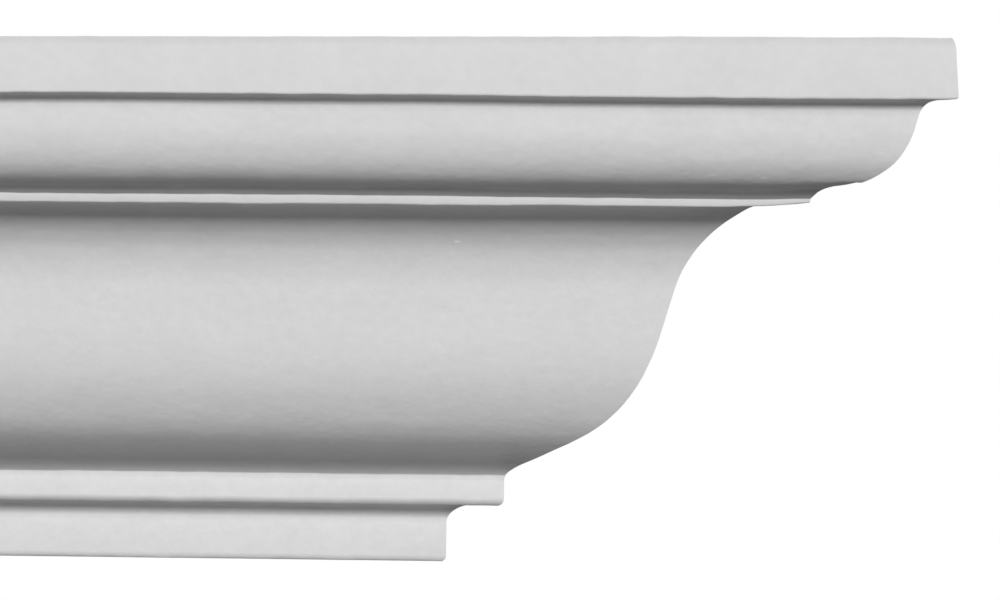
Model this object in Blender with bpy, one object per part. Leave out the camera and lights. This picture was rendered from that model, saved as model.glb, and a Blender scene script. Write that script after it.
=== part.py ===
"""A length of cornice moulding, cast in one piece, for the angle between a wall and a ceiling.

The frame: +X runs along the length, towards the end that is mitred for an outside corner.
The wall is the plane y = 0 and the moulding projects from it towards -Y. +Z is up.
The origin is the middle of the land that bears on the wall.

The sizes below are in millimetres. A projection is measured from the wall, and a height
from the foot of the moulding.
"""
import math

import bpy
import bmesh

MM = 0.001

# The length, from the square end to the long point of the mitre, and the corner it turns
LENGTH = 304.8
CORNER_ANGLE = 90.0

# The whole section: its height, its reach, and its lands on the wall and on the ceiling
HEIGHT = 133.35
FASCIA_PROJECTION = 141.4
WALL_LAND = 28.0
CEILING_LAND = 28.0

# The crown fascia at the top, whose face leans out towards its foot
FASCIA_HEIGHT = 14.5
FASCIA_LEAN = 0.8
FASCIA_HEAD_EASE = 2.7
FASCIA_FOOT_EASE = 2.8

# The small cove under the fascia, and the ovolo that it flows into
FASCIA_SOFFIT = 8.7
COVE_SWEEP = 4.2
OVOLO_DROP = 18.3
OVOLO_TAIL_WIDTH = 17.4
OVOLO_TAIL_DROP = 1.6
OVOLO_NOSE_EASE = 3.0

# The small fillet, the splay above it that leads in from the ovolo, and its soffit
SPLAY_WIDTH = 2.8
SPLAY_DROP = 2.3
SMALL_FILLET_HEIGHT = 2.3
SMALL_FILLET_EASE = 0.5
SMALL_FILLET_SOFFIT = 26.8

# The large cyma: the run between its cove and its swell, and the turn into the lower fillet
CYMA_BATTER = 15.6
SWELL_RISE = 19.2
TAIL_TURN_WIDTH = 0.4
TAIL_TURN_RISE = 2.3

# The lower fillet and the band at the foot, with the cove between them
BAND_PROJECTION = 14.0
BAND_HEIGHT = 16.1
BAND_EASE = 3.0
LOWER_FILLET_STEP = 16.4
LOWER_FILLET_HEIGHT = 7.0
LOWER_FILLET_EASE = 3.6

# Each large curve: the shares of the two sides of its corner that it takes, and its fullness
SMALL_COVE_CURVE = (0.25, 0.22, 0.78)
OVOLO_CURVE = (0.66, 0.75, 0.63)
CYMA_COVE_CURVE = (0.59, 0.39, 0.53)
SWELL_CURVE = (0.42, 0.52, 0.72)
TAIL_TURN_CURVE = (0.16, 0.70, 0.77)
LOWER_COVE_CURVE = (0.60, 0.36, 0.68)

# A handle of this share of its side makes a quarter circle
ROUND = 0.5523

CURVE_STEPS = 12
END_SPARE = 10.0
WELD_DISTANCE = 0.00001
SMOOTH_ANGLE = math.radians(20.0)
PRIMER_WHITE = (0.68, 0.68, 0.68, 1.0)


def clear_scene():
    for old in list(bpy.data.objects):
        bpy.data.objects.remove(old, do_unlink=True)


def new_collection(name):
    collection = bpy.data.collections.new(name)
    bpy.context.scene.collection.children.link(collection)
    return collection


def white_primer():
    """Matt white primer, as sprayed on the casting at the works."""
    material = bpy.data.materials.new("white_primer")
    material.use_nodes = True
    shader = material.node_tree.nodes["Principled BSDF"]
    shader.inputs["Base Color"].default_value = PRIMER_WHITE
    shader.inputs["Roughness"].default_value = 0.55
    shader.inputs["Metallic"].default_value = 0.0
    return material


def toward(start, goal, distance):
    """The point at the given distance from start on the way to goal."""
    share = distance / math.dist(start, goal)
    return tuple(a + (b - a) * share for a, b in zip(start, goal))


class Outline:
    """A closed outline of straight runs, with a curve across each corner that isn't sharp."""

    def __init__(self):
        self.corners = []

    def sharp(self, place):
        self.corners.append((place, "sharp", None))

    def eased(self, place, radius):
        """A small rounding, of the given size along each side."""
        self.corners.append((place, "eased", radius))

    def curved(self, place, curve):
        """A large curve, which takes its own share of each side."""
        self.corners.append((place, "curved", curve))

    def bezier_points(self):
        """The points of the spline, each with the handle before it and the handle after it."""
        points = []
        places = [place for place, _, _ in self.corners]
        for index, (place, kind, size) in enumerate(self.corners):
            last = places[index - 1]
            following = places[(index + 1) % len(places)]
            before = math.dist(place, last)
            after = math.dist(place, following)
            if kind == "sharp":
                points.append((place, None, None))
                continue
            if kind == "eased":
                cut_before = min(size, before / 2)
                cut_after = min(size, after / 2)
                fullness = ROUND
            else:
                cut_before = size[0] * before
                cut_after = size[1] * after
                fullness = size[2]
            start = toward(place, last, cut_before)
            end = toward(place, following, cut_after)
            points.append((start, None, toward(start, place, fullness * cut_before)))
            points.append((end, toward(end, place, fullness * cut_after), None))
        return points


def section():
    """The moulding's section as (projection, height), from the ceiling land down the face."""
    fascia_foot = HEIGHT - FASCIA_HEIGHT
    fascia_head = FASCIA_PROJECTION - FASCIA_LEAN
    cove = FASCIA_PROJECTION - FASCIA_SOFFIT
    ovolo = cove - COVE_SWEEP
    ovolo_foot = fascia_foot - OVOLO_DROP
    nose = ovolo - OVOLO_TAIL_WIDTH
    nose_foot = ovolo_foot - OVOLO_TAIL_DROP
    small_fillet = nose - SPLAY_WIDTH
    small_fillet_head = nose_foot - SPLAY_DROP
    small_fillet_foot = small_fillet_head - SMALL_FILLET_HEIGHT
    cyma_head = small_fillet - SMALL_FILLET_SOFFIT
    lower_fillet = BAND_PROJECTION + LOWER_FILLET_STEP
    crease = BAND_HEIGHT + LOWER_FILLET_HEIGHT

    outline = Outline()
    outline.sharp((fascia_head - CEILING_LAND, HEIGHT))
    outline.eased((fascia_head, HEIGHT), FASCIA_HEAD_EASE)
    outline.eased((FASCIA_PROJECTION, fascia_foot), FASCIA_FOOT_EASE)
    outline.curved((cove, fascia_foot), SMALL_COVE_CURVE)
    outline.curved((ovolo, ovolo_foot), OVOLO_CURVE)
    outline.eased((nose, nose_foot), OVOLO_NOSE_EASE)
    outline.sharp((small_fillet, small_fillet_head))
    outline.eased((small_fillet, small_fillet_foot), SMALL_FILLET_EASE)
    outline.curved((cyma_head, small_fillet_foot), CYMA_COVE_CURVE)
    outline.curved((cyma_head - CYMA_BATTER, crease + SWELL_RISE), SWELL_CURVE)
    outline.curved((lower_fillet + TAIL_TURN_WIDTH, crease + TAIL_TURN_RISE), TAIL_TURN_CURVE)
    outline.sharp((lower_fillet, crease))
    outline.eased((lower_fillet, BAND_HEIGHT), LOWER_FILLET_EASE)
    outline.curved((BAND_PROJECTION, BAND_HEIGHT), LOWER_COVE_CURVE)
    outline.eased((BAND_PROJECTION, 0.0), BAND_EASE)
    outline.sharp((0.0, 0.0))
    outline.sharp((0.0, WALL_LAND))
    return outline


def section_curve(outline):
    """The outline as a flat curve, in metres, with its heights measured from the origin."""
    curve = bpy.data.curves.new("section", "CURVE")
    curve.dimensions = "2D"
    curve.fill_mode = "BOTH"
    points = outline.bezier_points()
    spline = curve.splines.new("BEZIER")
    spline.bezier_points.add(len(points) - 1)
    spline.use_cyclic_u = True
    spline.resolution_u = CURVE_STEPS
    for knot, (place, left, right) in zip(spline.bezier_points, points):
        knot.co = on_section(place)
        knot.handle_left_type = "VECTOR" if left is None else "FREE"
        knot.handle_right_type = "VECTOR" if right is None else "FREE"
        if left is not None:
            knot.handle_left = on_section(left)
        if right is not None:
            knot.handle_right = on_section(right)
    return curve


def on_section(place):
    projection, height = place
    return (projection * MM, (height - WALL_LAND / 2) * MM, 0.0)


def mitre_run():
    """How far the mitre's long point lies beyond its short point."""
    return FASCIA_PROJECTION / math.tan(math.radians(CORNER_ANGLE / 2))


def cast_length(collection, material):
    """The section drawn out along the wall, longer than needed at the end to be mitred."""
    back_length = LENGTH - mitre_run()
    square_end = -back_length / 2
    blank_length = LENGTH + END_SPARE
    curve = section_curve(section())
    curve.extrude = blank_length / 2 * MM
    drawn = bpy.data.objects.new("section", curve)
    drawn.location.x = (square_end + blank_length / 2) * MM
    drawn.rotation_euler = (math.pi / 2, 0.0, -math.pi / 2)
    bpy.context.scene.collection.objects.link(drawn)
    bpy.context.view_layer.update()

    evaluated = drawn.evaluated_get(bpy.context.evaluated_depsgraph_get())
    mesh = bpy.data.meshes.new_from_object(evaluated)
    mesh.name = "cornice_length"
    shell = bmesh.new()
    shell.from_mesh(mesh)
    bmesh.ops.remove_doubles(shell, verts=shell.verts, dist=WELD_DISTANCE)
    bmesh.ops.recalc_face_normals(shell, faces=shell.faces)
    shell.to_mesh(mesh)
    shell.free()
    mesh.materials.clear()
    mesh.materials.append(material)

    moulding = bpy.data.objects.new("cornice_length", mesh)
    moulding.matrix_world = drawn.matrix_world
    collection.objects.link(moulding)
    bpy.data.objects.remove(drawn, do_unlink=True)
    return moulding


def mitre_cutter(collection):
    """A block whose face is the mitre: it meets the wall at the back land's right-hand end."""
    size = 2 * LENGTH * MM
    short_point = (LENGTH - mitre_run()) / 2 * MM
    half_corner = math.radians(CORNER_ANGLE / 2)
    bpy.ops.mesh.primitive_cube_add(size=size)
    cutter = bpy.context.object
    cutter.name = "mitre_cutter"
    cutter.location.x = short_point + math.sin(half_corner) * size / 2
    cutter.location.y = math.cos(half_corner) * size / 2
    cutter.rotation_euler.z = math.pi / 2 - half_corner
    cutter.hide_render = True
    cutter.display_type = "WIRE"
    for other in list(cutter.users_collection):
        other.objects.unlink(cutter)
    collection.objects.link(cutter)
    return cutter


def cut_mitre(moulding, cutter):
    cut = moulding.modifiers.new("mitre", "BOOLEAN")
    cut.operation = "DIFFERENCE"
    cut.solver = "EXACT"
    cut.object = cutter


def main():
    clear_scene()
    pieces = new_collection("cornice_moulding_length")
    cutters = new_collection("cutters")
    moulding = cast_length(pieces, white_primer())
    cut_mitre(moulding, mitre_cutter(cutters))
    moulding.data.shade_smooth()
    moulding.data.set_sharp_from_angle(angle=SMOOTH_ANGLE)


main()
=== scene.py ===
"""A length of white primed cornice moulding, cut square at one end and mitred at the other.

The moulding is one casting. It is drawn here as it is made: cast to its section, primed
on its face, and cut to length. Sizes are in millimetres, and MM turns them to metres.
"""
import math

import bmesh
import bpy
from mathutils import Matrix, Vector, noise


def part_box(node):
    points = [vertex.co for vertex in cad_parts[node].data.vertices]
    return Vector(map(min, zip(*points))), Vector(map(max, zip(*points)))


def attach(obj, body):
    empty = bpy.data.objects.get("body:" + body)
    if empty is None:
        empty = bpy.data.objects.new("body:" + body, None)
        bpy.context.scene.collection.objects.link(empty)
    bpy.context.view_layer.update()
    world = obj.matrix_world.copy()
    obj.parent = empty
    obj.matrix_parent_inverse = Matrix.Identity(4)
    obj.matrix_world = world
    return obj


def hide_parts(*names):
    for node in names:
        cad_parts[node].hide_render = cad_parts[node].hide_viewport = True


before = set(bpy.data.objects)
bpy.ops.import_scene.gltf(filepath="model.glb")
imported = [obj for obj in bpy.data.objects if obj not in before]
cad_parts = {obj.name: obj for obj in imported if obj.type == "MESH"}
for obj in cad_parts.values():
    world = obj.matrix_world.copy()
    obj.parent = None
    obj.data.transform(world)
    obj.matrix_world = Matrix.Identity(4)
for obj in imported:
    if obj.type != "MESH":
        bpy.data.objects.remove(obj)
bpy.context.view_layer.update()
MM = 0.001

# The casting
# One piece of dense rigid foam, poured in a long mould: a moulded face, flat lands for the
# wall and the ceiling, and a flat diagonal back. It is glued and pinned up through the lands.

LOW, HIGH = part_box("cornice_length")
SQUARE_END = LOW[0] / MM
LONG_POINT = HIGH[0] / MM
FOOT = LOW[2] / MM
HEIGHT = (HIGH[2] - LOW[2]) / MM
SHORT_POINT = -SQUARE_END
END_SPARE = 10.0
FASCIA_PROJECTION = 141.28
WALL_LAND = 28.0
CEILING_LAND = 28.0

FASCIA_HEIGHT = 14.15
FASCIA_LEAN = 0.8
FASCIA_FOOT_EASE = 0.6
FASCIA_SOFFIT = 7.8
COVE_SWEEP = 5.1
OVOLO_DROP = 18.65
OVOLO_TAIL_WIDTH = 17.4
OVOLO_TAIL_DROP = 1.6
OVOLO_NOSE_EASE = 3.0
SPLAY_WIDTH = 2.8
SPLAY_DROP = 2.5
SMALL_FILLET_ARRIS = 0.2
SMALL_FILLET_HEIGHT = 2.2
SMALL_FILLET_EASE = 0.5
SMALL_FILLET_SOFFIT = 26.8
CYMA_BATTER = 15.6
SWELL_RISE = 19.2
TAIL_TURN_WIDTH = 0.4
TAIL_TURN_RISE = 2.3
CREASE_ARRIS = 0.15
BAND_PROJECTION = 14.0
BAND_HEIGHT = 16.2
BAND_EASE = 1.8
BACK_ARRIS = 0.4
LOWER_FILLET_STEP = 16.4
LOWER_FILLET_HEIGHT = 6.9
LOWER_FILLET_EASE = 2.0

# Each large curve: the shares of the two sides of its corner that it takes, and its fullness
FASCIA_HEAD_CURVE = (0.04, 0.21, 0.50)
SMALL_COVE_CURVE = (0.50, 0.20, 0.70)
OVOLO_CURVE = (0.66, 0.75, 0.63)
CYMA_COVE_CURVE = (0.59, 0.39, 0.53)
SWELL_CURVE = (0.42, 0.52, 0.72)
TAIL_TURN_CURVE = (0.16, 0.70, 0.77)
LOWER_COVE_CURVE = (0.60, 0.36, 0.58)
ROUND = 0.5523
CURVE_STEPS = 20
LENGTH_CUTS = 150


def toward(start, goal, distance):
    """The point at the given distance from start on the way to goal."""
    share = distance / math.dist(start, goal)
    return tuple(a + (b - a) * share for a, b in zip(start, goal))


fascia_foot = HEIGHT - FASCIA_HEIGHT
fascia_head = FASCIA_PROJECTION - FASCIA_LEAN
cove = FASCIA_PROJECTION - FASCIA_SOFFIT
ovolo = cove - COVE_SWEEP
ovolo_foot = fascia_foot - OVOLO_DROP
nose = ovolo - OVOLO_TAIL_WIDTH
nose_foot = ovolo_foot - OVOLO_TAIL_DROP
small_fillet = nose - SPLAY_WIDTH
small_fillet_head = nose_foot - SPLAY_DROP
small_fillet_foot = small_fillet_head - SMALL_FILLET_HEIGHT
cyma_head = small_fillet - SMALL_FILLET_SOFFIT
lower_fillet = BAND_PROJECTION + LOWER_FILLET_STEP
crease = BAND_HEIGHT + LOWER_FILLET_HEIGHT

# The section's corners as (projection, height), each with its rounding or its curve
SECTION = (
    ((fascia_head - CEILING_LAND, HEIGHT), 0.0),
    ((fascia_head, HEIGHT), FASCIA_HEAD_CURVE),
    ((FASCIA_PROJECTION, fascia_foot), FASCIA_FOOT_EASE),
    ((cove, fascia_foot), SMALL_COVE_CURVE),
    ((ovolo, ovolo_foot), OVOLO_CURVE),
    ((nose, nose_foot), OVOLO_NOSE_EASE),
    ((small_fillet, small_fillet_head), SMALL_FILLET_ARRIS),
    ((small_fillet, small_fillet_foot), SMALL_FILLET_EASE),
    ((cyma_head, small_fillet_foot), CYMA_COVE_CURVE),
    ((cyma_head - CYMA_BATTER, crease + SWELL_RISE), SWELL_CURVE),
    ((lower_fillet + TAIL_TURN_WIDTH, crease + TAIL_TURN_RISE), TAIL_TURN_CURVE),
    ((lower_fillet, crease), CREASE_ARRIS),
    ((lower_fillet, BAND_HEIGHT), LOWER_FILLET_EASE),
    ((BAND_PROJECTION, BAND_HEIGHT), LOWER_COVE_CURVE),
    ((BAND_PROJECTION, 0.0), BAND_EASE),
    ((0.0, 0.0), BACK_ARRIS),
    ((0.0, WALL_LAND), 0.0),
)


def section_knots():
    """The spline's knots, each with the handle before it and the handle after it."""
    knots = []
    for index, (place, size) in enumerate(SECTION):
        last = SECTION[index - 1][0]
        following = SECTION[(index + 1) % len(SECTION)][0]
        before = math.dist(place, last)
        after = math.dist(place, following)
        if size == 0.0:
            knots.append((place, None, None))
            continue
        if isinstance(size, tuple):
            cut_before = size[0] * before
            cut_after = size[1] * after
            fullness = size[2]
        else:
            cut_before = min(size, before / 2)
            cut_after = min(size, after / 2)
            fullness = ROUND
        start = toward(place, last, cut_before)
        end = toward(place, following, cut_after)
        knots.append((start, None, toward(start, place, fullness * cut_before)))
        knots.append((end, toward(end, place, fullness * cut_after), None))
    return knots


def section_loop():
    """The section as a closed loop of edges at the square end, in a new bmesh."""
    knots = section_knots()
    curve = bpy.data.curves.new("section", "CURVE")
    curve.dimensions = "3D"
    spline = curve.splines.new("BEZIER")
    spline.bezier_points.add(len(knots) - 1)
    spline.use_cyclic_u = True
    spline.resolution_u = CURVE_STEPS
    for point, (place, left, right) in zip(spline.bezier_points, knots):
        point.co = (*place, 0.0)
        point.handle_left_type = "VECTOR" if left is None else "FREE"
        point.handle_right_type = "VECTOR" if right is None else "FREE"
        if left is not None:
            point.handle_left = (*left, 0.0)
        if right is not None:
            point.handle_right = (*right, 0.0)
    drawn = bpy.data.objects.new("section", curve)
    bpy.context.scene.collection.objects.link(drawn)
    bpy.context.view_layer.update()
    evaluated = drawn.evaluated_get(bpy.context.evaluated_depsgraph_get())
    flat = bpy.data.meshes.new_from_object(evaluated)
    loop = bmesh.new()
    loop.from_mesh(flat)
    bpy.data.meshes.remove(flat)
    bpy.data.objects.remove(drawn, do_unlink=True)
    stand_up = Matrix(((0, 0, 1, SQUARE_END), (-1, 0, 0, 0), (0, 1, 0, FOOT), (0, 0, 0, 1)))
    bmesh.ops.transform(loop, matrix=Matrix.Scale(MM, 4) @ stand_up, verts=loop.verts)
    bmesh.ops.remove_doubles(loop, verts=loop.verts, dist=0.001 * MM)
    return loop


# Painted shade: the white is painted darker in the quirks and coves and under the overhangs, where
# shade falls, and a little darker down the fascia and towards the band's foot. Each: a place on the section,
# how far the painted shade spreads from it, the lowest height it comes down to, and the share of the
# white that is lost there. ANY_HEIGHT lies below the casting's foot.
ANY_HEIGHT = -1.0
PAINTED_SHADE_PLACES = (
    ((small_fillet + 1.0, small_fillet_head + 0.8), 2.8, small_fillet_head, 0.71),
    ((nose + 4.0, nose_foot + 0.5), 6.5, small_fillet_head, 0.29),
    ((small_fillet, small_fillet_foot + 1.0), 1.5, ANY_HEIGHT, 0.25),
    ((cyma_head + 8.0, small_fillet_foot - 6.0), 14.0, ANY_HEIGHT, 0.16),
    ((cyma_head + 1.5, small_fillet_foot - 6.6), 5.0, ANY_HEIGHT, 0.27),
    ((cyma_head - 19.0, crease + 21.0), 9.0, ANY_HEIGHT, 0.07),
    ((lower_fillet + 8.0, crease + 4.0), 15.0, crease + 1.3, 0.60),
    ((lower_fillet, crease - 3.4), 5.0, ANY_HEIGHT, 0.03),
    ((lower_fillet - 0.5, BAND_HEIGHT), 1.5, ANY_HEIGHT, 0.30),
    ((FASCIA_PROJECTION, HEIGHT - 9.0), 9.0, ANY_HEIGHT, 0.145),
    ((BAND_PROJECTION, 2.0), 7.0, ANY_HEIGHT, 0.06),
)

casting = section_loop()
# Each vertex of the section keeps the share of the white that is darkened there as painted shade
painted_shade_layer = casting.verts.layers.float.new("painted_shade_layer")
for vert in casting.verts:
    here = (-vert.co.y / MM, vert.co.z / MM - FOOT)
    vert[painted_shade_layer] = max(share * math.exp(-(math.dist(here, place) / reach) ** 2)
                            for place, reach, lowest, share in PAINTED_SHADE_PLACES if here[1] >= lowest)
drawn_out = bmesh.ops.extrude_edge_only(casting, edges=casting.edges)
far_verts = [item for item in drawn_out["geom"] if isinstance(item, bmesh.types.BMVert)]
blank_length = (LONG_POINT - SQUARE_END + END_SPARE) * MM
bmesh.ops.translate(casting, verts=far_verts, vec=(blank_length, 0.0, 0.0))
lengthwise = [e for e in casting.edges if abs(e.verts[0].co.x - e.verts[1].co.x) > MM]
bmesh.ops.subdivide_edges(casting, edges=lengthwise, cuts=LENGTH_CUTS, use_grid_fill=True)

# The mould isn't quite true. Its top is low at the square end, its upper arrises fall a little
# on the way to the mitre, and every arris and face wavers by about a tenth of a millimetre.
# Each fall has its height on the section and its depth, and those between are shared out.
TOP_LOW = 0.65
TOP_TRUE_FROM = 170.0
FALL_STARTS = 50.0
FALL_ENDS = 205.0
FALLS = (
    (0.0, 0.0),
    (small_fillet_foot - 10.0, 0.0),
    (small_fillet_foot, 0.1),
    (small_fillet_head, 0.4),
    (ovolo_foot + OVOLO_DROP * 0.7, 0.5),
    (fascia_foot, 0.5),
    (HEIGHT, 0.0),
)
LONG_WAVE = 30.0
SHORT_WAVE = 7.0
WAVE_SPREAD = 4.0
LONG_WAVER = 0.12
SHORT_WAVER = 0.15
TOP_WAVER = 0.07
FACE_WAVE = 9.0
FACE_WAVER = 0.03
# Each wave's place on the third axis of the noise, so that no two are alike
LONG_SEED, TOP_SEED, SHORT_SEED = 0.0, 3.0, 7.0
# The waves of the face keep this far from the wall, and from the heights of the foot and the top
WALL_CLEAR = 1.0
LAND_CLEAR = 0.05

# At the mitre's sharp edge, three feet have worn up: where each is on the section, how far above
# and below itself the wear spreads, and how deep the wear is at the cut
WORN_LENGTH = 22.0
WORN_FEET = (
    (small_fillet, small_fillet_foot, 1.3, 1.25),
    (nose + 6.0, nose_foot, 3.0, 0.5),
    (FASCIA_PROJECTION - 2.0, fascia_foot, 3.0, 0.25),
)
# The wear starts the first distance behind its edge, is full from the second distance behind it,
# and ends the third distance ahead of it
WEAR_BEHIND, WEAR_FULL_BEHIND, WEAR_AHEAD = 30.0, 6.0, 3.0


def share_between(start, end, value):
    return min(1.0, max(0.0, (value - start) / (end - start)))


def arris_fall(x, height):
    """How far the mould's face has fallen, in millimetres, at a point of its length."""
    t = share_between(FALL_STARTS, FALL_ENDS, x)
    eased_in = t * t * (3.0 - 2.0 * t)
    fall = 0.0
    for (low, low_fall), (high, high_fall) in zip(FALLS, FALLS[1:]):
        if low <= height <= high:
            fall = low_fall + (high_fall - low_fall) * share_between(low, high, height)
    top_share = share_between(fascia_foot, HEIGHT, height)
    top_fall = TOP_LOW * share_between(TOP_TRUE_FROM, 0.0, x)
    return fall * eased_in + top_fall * top_share


def worn_up(x, projection, height):
    """How far a foot has worn up, in millimetres, near the mitre's cut."""
    near_cut = share_between(SHORT_POINT + projection - WORN_LENGTH, SHORT_POINT + projection, x)
    return sum(depth * near_cut ** 2 * math.exp(-((height - foot) / spread) ** 2)
               * share_between(edge - WEAR_BEHIND, edge - WEAR_FULL_BEHIND, projection)
               for edge, foot, spread, depth in WORN_FEET if projection < edge + WEAR_AHEAD)


for vert in casting.verts:
    x, projection, height = vert.co.x / MM, -vert.co.y / MM, vert.co.z / MM - FOOT
    fall = arris_fall(x, height) - worn_up(x, projection, height)
    if projection > WALL_CLEAR and LAND_CLEAR < height < HEIGHT - LAND_CLEAR:
        at = height / WAVE_SPREAD
        fall += LONG_WAVER * noise.noise(Vector((x / LONG_WAVE, at, LONG_SEED)))
        fall += SHORT_WAVER * noise.noise(Vector((x / SHORT_WAVE, at, SHORT_SEED)))
        projection -= FACE_WAVER * (1.0 + noise.noise(Vector((x, projection, height)) / FACE_WAVE))
    elif height > HEIGHT - LAND_CLEAR:
        along, across = x / SHORT_WAVE, projection / LONG_WAVE
        fall += TOP_WAVER * (1.0 + noise.noise(Vector((along, across, TOP_SEED))))
    height = min(HEIGHT, max(0.0, height - fall))
    vert.co.y = -projection * MM
    vert.co.z = (height + FOOT) * MM

mitre_normal = Vector((1.0, 1.0, 0.0)).normalized()
everything = casting.verts[:] + casting.edges[:] + casting.faces[:]
bmesh.ops.bisect_plane(casting, geom=everything, dist=0.0001 * MM,
                       plane_co=(SHORT_POINT * MM, 0.0, 0.0), plane_no=mitre_normal, clear_outer=True)
open_edges = [edge for edge in casting.edges if edge.is_boundary]
bmesh.ops.holes_fill(casting, edges=open_edges, sides=0)
bmesh.ops.recalc_face_normals(casting, faces=casting.faces)

# The cut ends face along the length and are sawn. The back and the wall land face backwards and
# the ceiling land straight up, and both are bare skin. All the rest is primed.
PRIMED, SKINNED, SAWN = 0, 1, 2
FACES_ALONG, FACES_BACK, FACES_UP = 0.5, 0.1, 0.99
SHARP_FROM = 30.0
for face in casting.faces:
    cut_face = abs(face.normal.x) > FACES_ALONG
    back_face = face.normal.y > FACES_BACK or face.normal.z > FACES_UP
    face.material_index = SAWN if cut_face else SKINNED if back_face else PRIMED

cornice_mesh = bpy.data.meshes.new("cornice")
casting.to_mesh(cornice_mesh)
casting.free()
cornice_mesh.shade_smooth()
cornice_mesh.set_sharp_from_angle(angle=math.radians(SHARP_FROM))
cornice = bpy.data.objects.new("cornice", cornice_mesh)
bpy.context.scene.collection.objects.link(cornice)


def linear(hex_colour):
    """An sRGB hex colour as linear red, green, blue and alpha."""
    channels = [int(hex_colour[i:i + 2], 16) / 255 for i in (1, 3, 5)]
    return [c / 12.92 if c <= 0.04045 else ((c + 0.055) / 1.055) ** 2.4 for c in channels] + [1.0]


def add_node(tree, kind, fixed=None, sockets=None, links=None):
    """One node, with its settings, its socket values and the outputs that feed it."""
    made = tree.nodes.new(kind)
    for name, value in (fixed or {}).items():
        setattr(made, name, value)
    for name, value in (sockets or {}).items():
        made.inputs[name].default_value = value
    for name, output in (links or {}).items():
        tree.links.new(output, made.inputs[name])
    return made


def unevenness(tree, pattern, swing, middle=1.0):
    """A pattern's 0 to 1 output turned into a factor that swings either side of its middle."""
    return add_node(tree, "ShaderNodeMath", {"operation": "MULTIPLY_ADD"},
                    sockets={1: 2.0 * swing, 2: middle - swing}, links={0: pattern}).outputs[0]


def product(tree, first, second):
    return add_node(tree, "ShaderNodeMath", {"operation": "MULTIPLY"}, links={0: first, 1: second}).outputs[0]


def grain(tree, cell, detail=2.0, stretch=None):
    """Noise on the casting's own coordinates, with cells of the given size in millimetres."""
    place = add_node(tree, "ShaderNodeTexCoord").outputs["Object"]
    if stretch:
        place = add_node(tree, "ShaderNodeMapping", sockets={"Scale": stretch},
                         links={"Vector": place}).outputs[0]
    noise_node = add_node(tree, "ShaderNodeTexNoise", sockets={"Scale": 1.0 / (cell * MM), "Detail": detail},
                          links={"Vector": place})
    return noise_node.outputs["Fac"]


PRIMER_WHITE = "#D2D2D2"
PRIMER_MATT = 0.55
PRIMER_CHALK = 0.2
MOTTLE_CELL, MOTTLE_SWING = 16.0, 0.035
FLECK_CELL, FLECK_SWING = 2.6, 0.045
PEEL_CELL, PEEL_DEPTH = 3.0, 0.16
# Painted highlights: nibs of dried primer, painted paler where they catch the light. Where each sits in
# millimetres, half its length and how much paler it is. Each is evenly pale over this share of its middle,
# and fades from there to its edge.
NIB_HIGHLIGHTS = (
    ((102.3, -81.8, 71.75), 1.2, 0.26),
    ((166.2, -123.2, 87.4), 1.8, 0.13),
    ((178.3, -122.1, 86.8), 1.4, 0.12),
)
NIB_HALF_HEIGHT, NIB_HALF_DEPTH = 0.45, 1.8
NIB_EVEN_SHARE = 0.3


def nib_highlight(tree, place, half_length, paler):
    """A factor that is 1 away from a nib and rises to its paler middle."""
    # The paler middle is a painted highlight where the nib catches the light
    own = add_node(tree, "ShaderNodeTexCoord").outputs["Object"]
    middle = Vector(place) * MM
    away = add_node(tree, "ShaderNodeVectorMath", {"operation": "SUBTRACT"}, {1: middle}, {0: own})
    shares = [1.0 / (half * MM) for half in (half_length, NIB_HALF_DEPTH, NIB_HALF_HEIGHT)]
    scaled = add_node(tree, "ShaderNodeVectorMath", {"operation": "MULTIPLY"}, {1: shares},
                      {0: away.outputs[0]})
    length = add_node(tree, "ShaderNodeVectorMath", {"operation": "LENGTH"}, links={0: scaled.outputs[0]})
    return add_node(tree, "ShaderNodeMapRange",
                    sockets={"From Min": NIB_EVEN_SHARE, "To Min": 1.0 + paler, "To Max": 1.0},
                    links={"Value": length.outputs["Value"]}).outputs[0]


def white_acrylic_primer():
    """Water-based acrylic primer, sprayed at the works: matt, neutral white, with a faint orange peel.

    Its thickness varies a little, so it is faintly mottled. Shade is painted into it, darker in the quirks
    and coves and under the overhangs, and a few nibs of dried primer have painted highlights.
    """
    material = bpy.data.materials.new("white_acrylic_primer")
    material.use_nodes = True
    tree = material.node_tree
    shader = tree.nodes["Principled BSDF"]
    shader.inputs["Roughness"].default_value = PRIMER_MATT
    shader.inputs["Diffuse Roughness"].default_value = PRIMER_CHALK
    mottle = unevenness(tree, grain(tree, MOTTLE_CELL), MOTTLE_SWING)
    flecks = unevenness(tree, grain(tree, FLECK_CELL), FLECK_SWING)
    # Painted shade: the white is darkened by the share kept on the casting
    painted_darkening = add_node(tree, "ShaderNodeAttribute", {"attribute_name": "painted_shade_layer"}).outputs["Fac"]
    shade_factor = add_node(tree, "ShaderNodeMath", {"operation": "SUBTRACT"}, {0: 1.0}, {1: painted_darkening}).outputs[0]
    value = product(tree, product(tree, mottle, flecks), shade_factor)
    for place, half_length, paler in NIB_HIGHLIGHTS:
        value = product(tree, value, nib_highlight(tree, place, half_length, paler))
    white = add_node(tree, "ShaderNodeHueSaturation", sockets={"Color": linear(PRIMER_WHITE)},
                     links={"Value": value})
    tree.links.new(white.outputs["Color"], shader.inputs["Base Color"])
    peel = add_node(tree, "ShaderNodeBump", sockets={"Strength": 1.0, "Distance": PEEL_DEPTH * MM},
                    links={"Height": grain(tree, PEEL_CELL)})
    tree.links.new(peel.outputs["Normal"], shader.inputs["Normal"])
    return material


SKIN_IVORY = "#D9CFB4"
SKIN_ROUGHNESS = 0.5
SKIN_CLOUD_CELL, SKIN_CLOUD_SWING = 22.0, 0.05
# The pits' radius is a share of their spacing, and the factor at their bottom is painted shade in the
# pinholes.
PIT_SPACING, PIT_RADIUS, PIT_DEPTH, PINHOLE_PAINTED_SHADE = 5.0, 0.16, 0.25, 0.72
OVERSPRAY_REACH = 9.0
OVERSPRAY_CELL, OVERSPRAY_SWING = 5.0, 4.0


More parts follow.
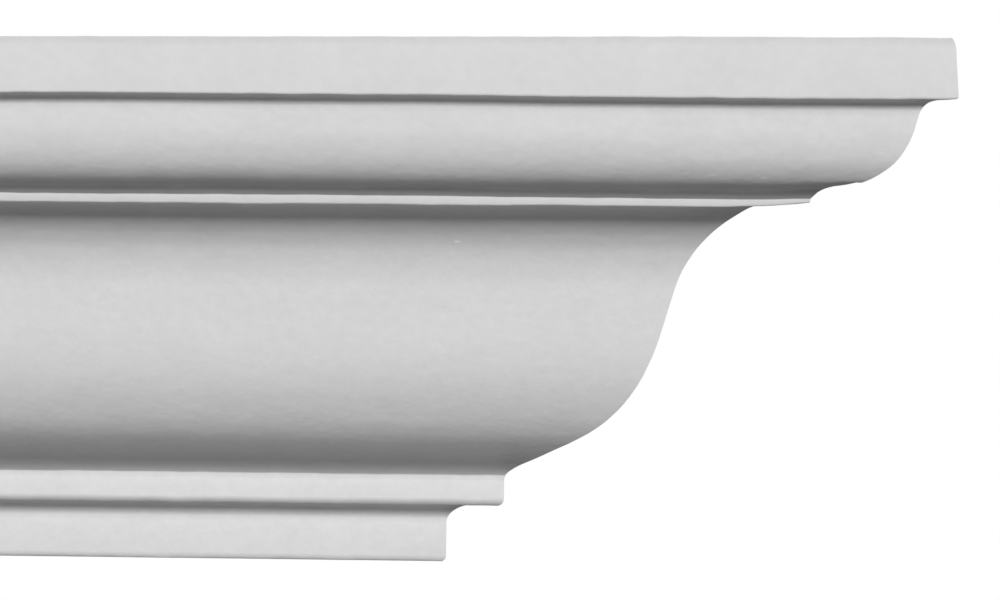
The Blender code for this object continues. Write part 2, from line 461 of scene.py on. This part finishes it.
def moulded_foam_skin():
    """The foam's own skin where it met the back of the mould: pale ivory, slightly waxy, with pinholes.

    The primer's spray drifted on to the front of the ceiling land and the foot of the wall land.
    """
    material = bpy.data.materials.new("moulded_foam_skin")
    material.use_nodes = True
    tree = material.node_tree
    shader = tree.nodes["Principled BSDF"]
    shader.inputs["Roughness"].default_value = SKIN_ROUGHNESS
    place = add_node(tree, "ShaderNodeTexCoord").outputs["Object"]
    clouds = unevenness(tree, grain(tree, SKIN_CLOUD_CELL), SKIN_CLOUD_SWING)
    pits = add_node(tree, "ShaderNodeTexVoronoi",
                    sockets={"Scale": 1.0 / (PIT_SPACING * MM), "Randomness": 1.0},
                    links={"Vector": place}).outputs["Distance"]
    pit_floor = add_node(tree, "ShaderNodeMapRange", {"interpolation_type": "SMOOTHSTEP"},
                         {"From Min": 0.0, "From Max": PIT_RADIUS, "To Min": 0.0, "To Max": 1.0},
                         {"Value": pits}).outputs[0]
    # Painted shade: the skin is darker towards the bottom of each pinhole
    pinhole_painted_shade = add_node(tree, "ShaderNodeMapRange", sockets={"To Min": PINHOLE_PAINTED_SHADE, "To Max": 1.0},
                         links={"Value": pit_floor}).outputs[0]
    ivory = add_node(tree, "ShaderNodeHueSaturation", sockets={"Color": linear(SKIN_IVORY)},
                     links={"Value": product(tree, clouds, pinhole_painted_shade)}).outputs["Color"]
    axes = add_node(tree, "ShaderNodeSeparateXYZ", links={"Vector": place}).outputs
    ragged = unevenness(tree, grain(tree, OVERSPRAY_CELL, detail=4.0), OVERSPRAY_SWING * MM, 0.0)
    behind_front = add_node(tree, "ShaderNodeMath", {"operation": "ADD"}, {1: FASCIA_PROJECTION * MM},
                            {0: axes["Y"]}).outputs[0]
    above_foot = add_node(tree, "ShaderNodeMath", {"operation": "SUBTRACT"}, {1: FOOT * MM},
                          {0: axes["Z"]}).outputs[0]
    inward = add_node(tree, "ShaderNodeMath", {"operation": "MINIMUM"},
                      links={0: behind_front, 1: above_foot})
    drift = add_node(tree, "ShaderNodeMath", {"operation": "ADD"}, links={0: inward.outputs[0], 1: ragged})
    sprayed = add_node(tree, "ShaderNodeMapRange", sockets={"From Min": 0.0, "From Max": OVERSPRAY_REACH * MM,
                       "To Min": 1.0, "To Max": 0.0}, links={"Value": drift.outputs[0]}).outputs[0]
    coated = add_node(tree, "ShaderNodeMix", {"data_type": "RGBA"}, {7: linear(PRIMER_WHITE)},
                      {0: sprayed, 6: ivory})
    tree.links.new(coated.outputs[2], shader.inputs["Base Color"])
    pinholes = add_node(tree, "ShaderNodeBump", sockets={"Strength": 1.0, "Distance": PIT_DEPTH * MM},
                        links={"Height": pit_floor})
    tree.links.new(pinholes.outputs["Normal"], shader.inputs["Normal"])
    return material


SAWN_IVORY = "#DDD6C4"
SAWN_ROUGHNESS = 0.85
# The saw lines stand upright, so they vary across the cut and hardly along its height.
SAW_PITCH, SAW_DEPTH, SAW_STRETCH = 1.4, 0.03, (0.0, 1.0, 0.03)
CELL_SIZE, CELL_SWING, CELL_DEPTH = 0.9, 0.06, 0.05


def sawn_foam():
    """Foam cut through by a fine saw: chalky ivory, with its cells open and faint upright saw lines."""
    material = bpy.data.materials.new("sawn_foam")
    material.use_nodes = True
    tree = material.node_tree
    shader = tree.nodes["Principled BSDF"]
    shader.inputs["Roughness"].default_value = SAWN_ROUGHNESS
    open_cells = grain(tree, CELL_SIZE, detail=3.0)
    chalk = add_node(tree, "ShaderNodeHueSaturation", sockets={"Color": linear(SAWN_IVORY)},
                     links={"Value": unevenness(tree, open_cells, CELL_SWING)})
    tree.links.new(chalk.outputs["Color"], shader.inputs["Base Color"])
    saw_lines = grain(tree, SAW_PITCH, stretch=SAW_STRETCH)
    scratched = add_node(tree, "ShaderNodeBump", sockets={"Strength": 1.0, "Distance": SAW_DEPTH * MM},
                         links={"Height": saw_lines})
    opened = add_node(tree, "ShaderNodeBump", sockets={"Strength": 1.0, "Distance": CELL_DEPTH * MM},
                      links={"Height": open_cells, "Normal": scratched.outputs["Normal"]})
    tree.links.new(opened.outputs["Normal"], shader.inputs["Normal"])
    return material


for finish in (white_acrylic_primer(), moulded_foam_skin(), sawn_foam()):
    cornice_mesh.materials.append(finish)

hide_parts("cornice_length")
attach(cornice, "root")

# The studio
# A pale floor well below the moulding and a white backdrop all round, soft light from low in
# front, from below and from behind, and a long lens nearly square to the moulding's face.

FLOOR_DROP = 0.35
FLOOR_SIZE = 6.0
FLOOR_GREY = "#DDDDDD"
PAPER_ROUGHNESS = 0.9
BACKDROP_WHITE = "#FFFFFF"
floor_mesh = bpy.data.meshes.new("floor")
flat = bmesh.new()
bmesh.ops.create_grid(flat, x_segments=1, y_segments=1, size=FLOOR_SIZE / 2)
bmesh.ops.translate(flat, verts=flat.verts, vec=(0.0, 0.0, LOW[2] - FLOOR_DROP))
flat.to_mesh(floor_mesh)
flat.free()
floor = bpy.data.objects.new("floor", floor_mesh)
paper = bpy.data.materials.new("studio_paper")
paper.use_nodes = True
paper_tree = paper.node_tree
sheet = paper_tree.nodes["Principled BSDF"]
sheet.inputs["Base Color"].default_value = linear(FLOOR_GREY)
sheet.inputs["Roughness"].default_value = PAPER_ROUGHNESS
# From below the paper is clear, so that it doesn't hide the moulding in a view from there.
underside = add_node(paper_tree, "ShaderNodeNewGeometry").outputs["Backfacing"]
clear = add_node(paper_tree, "ShaderNodeBsdfTransparent").outputs[0]
one_sided = add_node(paper_tree, "ShaderNodeMixShader", links={0: underside, 1: sheet.outputs[0], 2: clear})
paper_tree.links.new(one_sided.outputs[0], paper_tree.nodes["Material Output"].inputs["Surface"])
floor_mesh.materials.append(paper)
bpy.context.scene.collection.objects.link(floor)
# The world lights the casting from below in the floor's place, so the floor itself is only seen.
floor.visible_diffuse = False
floor.visible_glossy = False
floor.visible_shadow = False

FRAME_WIDTH = 1000.0
FOCAL_PIXELS = 3500.0
SENSOR_WIDTH = 36.0
AIM = Vector((109.0, 0.0, 57.1)) * MM
DISTANCE = 962.7 * MM
SWING = math.radians(2.945)
ROLL = 0.00866
view_line = Vector((-math.sin(SWING), math.cos(SWING), 0.0))
level_right = Vector((math.cos(SWING), math.sin(SWING), 0.0))
upright = Vector((0.0, 0.0, 1.0))
camera_right = level_right * math.cos(ROLL) + upright * math.sin(ROLL)
camera_up = upright * math.cos(ROLL) - level_right * math.sin(ROLL)
lens = bpy.data.cameras.new("camera")
lens.sensor_width = SENSOR_WIDTH
lens.lens = FOCAL_PIXELS / FRAME_WIDTH * SENSOR_WIDTH
camera = bpy.data.objects.new("camera", lens)
stance = Matrix((camera_right, camera_up, -view_line)).transposed().to_4x4()
stance.translation = AIM - view_line * DISTANCE
camera.matrix_world = stance
bpy.context.scene.collection.objects.link(camera)
bpy.context.scene.camera = camera

world = bpy.data.worlds.new("studio")
bpy.context.scene.world = world
world.use_nodes = True
world_tree = world.node_tree
backdrop = world_tree.nodes["Background"]
backdrop.inputs["Color"].default_value = linear(BACKDROP_WHITE)
backdrop.inputs["Strength"].default_value = 1.0
# Light from below, as a pale floor throws it up: hardly any from the moulding's own level, and
# the most from well below it
LEVEL_FROM, LEVEL_TO = 0.1, -0.6
LIGHT_BELOW = 0.241
facing = add_node(world_tree, "ShaderNodeTexCoord").outputs["Generated"]
level = add_node(world_tree, "ShaderNodeSeparateXYZ", links={"Vector": facing}).outputs["Z"]
thrown_up = add_node(world_tree, "ShaderNodeMapRange",
                     sockets={"From Min": LEVEL_FROM, "From Max": LEVEL_TO,
                              "To Min": 0.0, "To Max": LIGHT_BELOW}, links={"Value": level}).outputs[0]
ambient = add_node(world_tree, "ShaderNodeBackground", sockets={"Color": linear(BACKDROP_WHITE)},
                   links={"Strength": thrown_up})
seen = add_node(world_tree, "ShaderNodeLightPath")
mixed = add_node(world_tree, "ShaderNodeMixShader", links={0: seen.outputs["Is Camera Ray"],
                 1: ambient.outputs[0], 2: backdrop.outputs[0]})
world_tree.links.new(mixed.outputs[0], world_tree.nodes["World Output"].inputs["Surface"])

LIT_POINT = Vector((0.07, -0.06, 0.055))
# The long softbox lights the face from low in front. The broad light lights the back and the
# floor from high behind, and the side light the square end, and the casting keeps both off its
# own face. Directions are in degrees from the moulding, distances and sizes in metres.
SOFTBOX_BEARING, SOFTBOX_ELEVATION = -90.0, 12.5
SOFTBOX_DISTANCE, SOFTBOX_WIDTH, SOFTBOX_HEIGHT, SOFTBOX_WATTS = 4.0, 8.0, 0.55, 252.0
BROAD_BEARING, BROAD_ELEVATION, BROAD_STRENGTH = 65.0, 50.0, 2.5
SIDE_BEARING, SIDE_ELEVATION, SIDE_STRENGTH = 155.0, 20.0, 1.7
LIGHT_SPREAD = 40.0


def light_from(name, kind, bearing, elevation, distance, power):
    """A new light that points at the moulding from the given direction and distance."""
    lamp = bpy.data.lights.new(name, kind)
    lamp.energy = power
    around, up = math.radians(bearing), math.radians(elevation)
    towards = Vector((math.cos(around) * math.cos(up), math.sin(around) * math.cos(up), math.sin(up)))
    stand = bpy.data.objects.new(name, lamp)
    stand.location = LIT_POINT + towards * distance
    stand.rotation_euler = towards.to_track_quat("Z", "Y").to_euler()
    bpy.context.scene.collection.objects.link(stand)
    return lamp


softbox = light_from("softbox", "AREA", SOFTBOX_BEARING, SOFTBOX_ELEVATION, SOFTBOX_DISTANCE, SOFTBOX_WATTS)
softbox.shape = "RECTANGLE"
softbox.size = SOFTBOX_WIDTH
softbox.size_y = SOFTBOX_HEIGHT
broad = light_from("broad_light", "SUN", BROAD_BEARING, BROAD_ELEVATION, SOFTBOX_DISTANCE, BROAD_STRENGTH)
broad.angle = math.radians(LIGHT_SPREAD)
side = light_from("side_light", "SUN", SIDE_BEARING, SIDE_ELEVATION, SOFTBOX_DISTANCE, SIDE_STRENGTH)
side.angle = math.radians(LIGHT_SPREAD)

bpy.context.scene.view_settings.view_transform = "Standard"
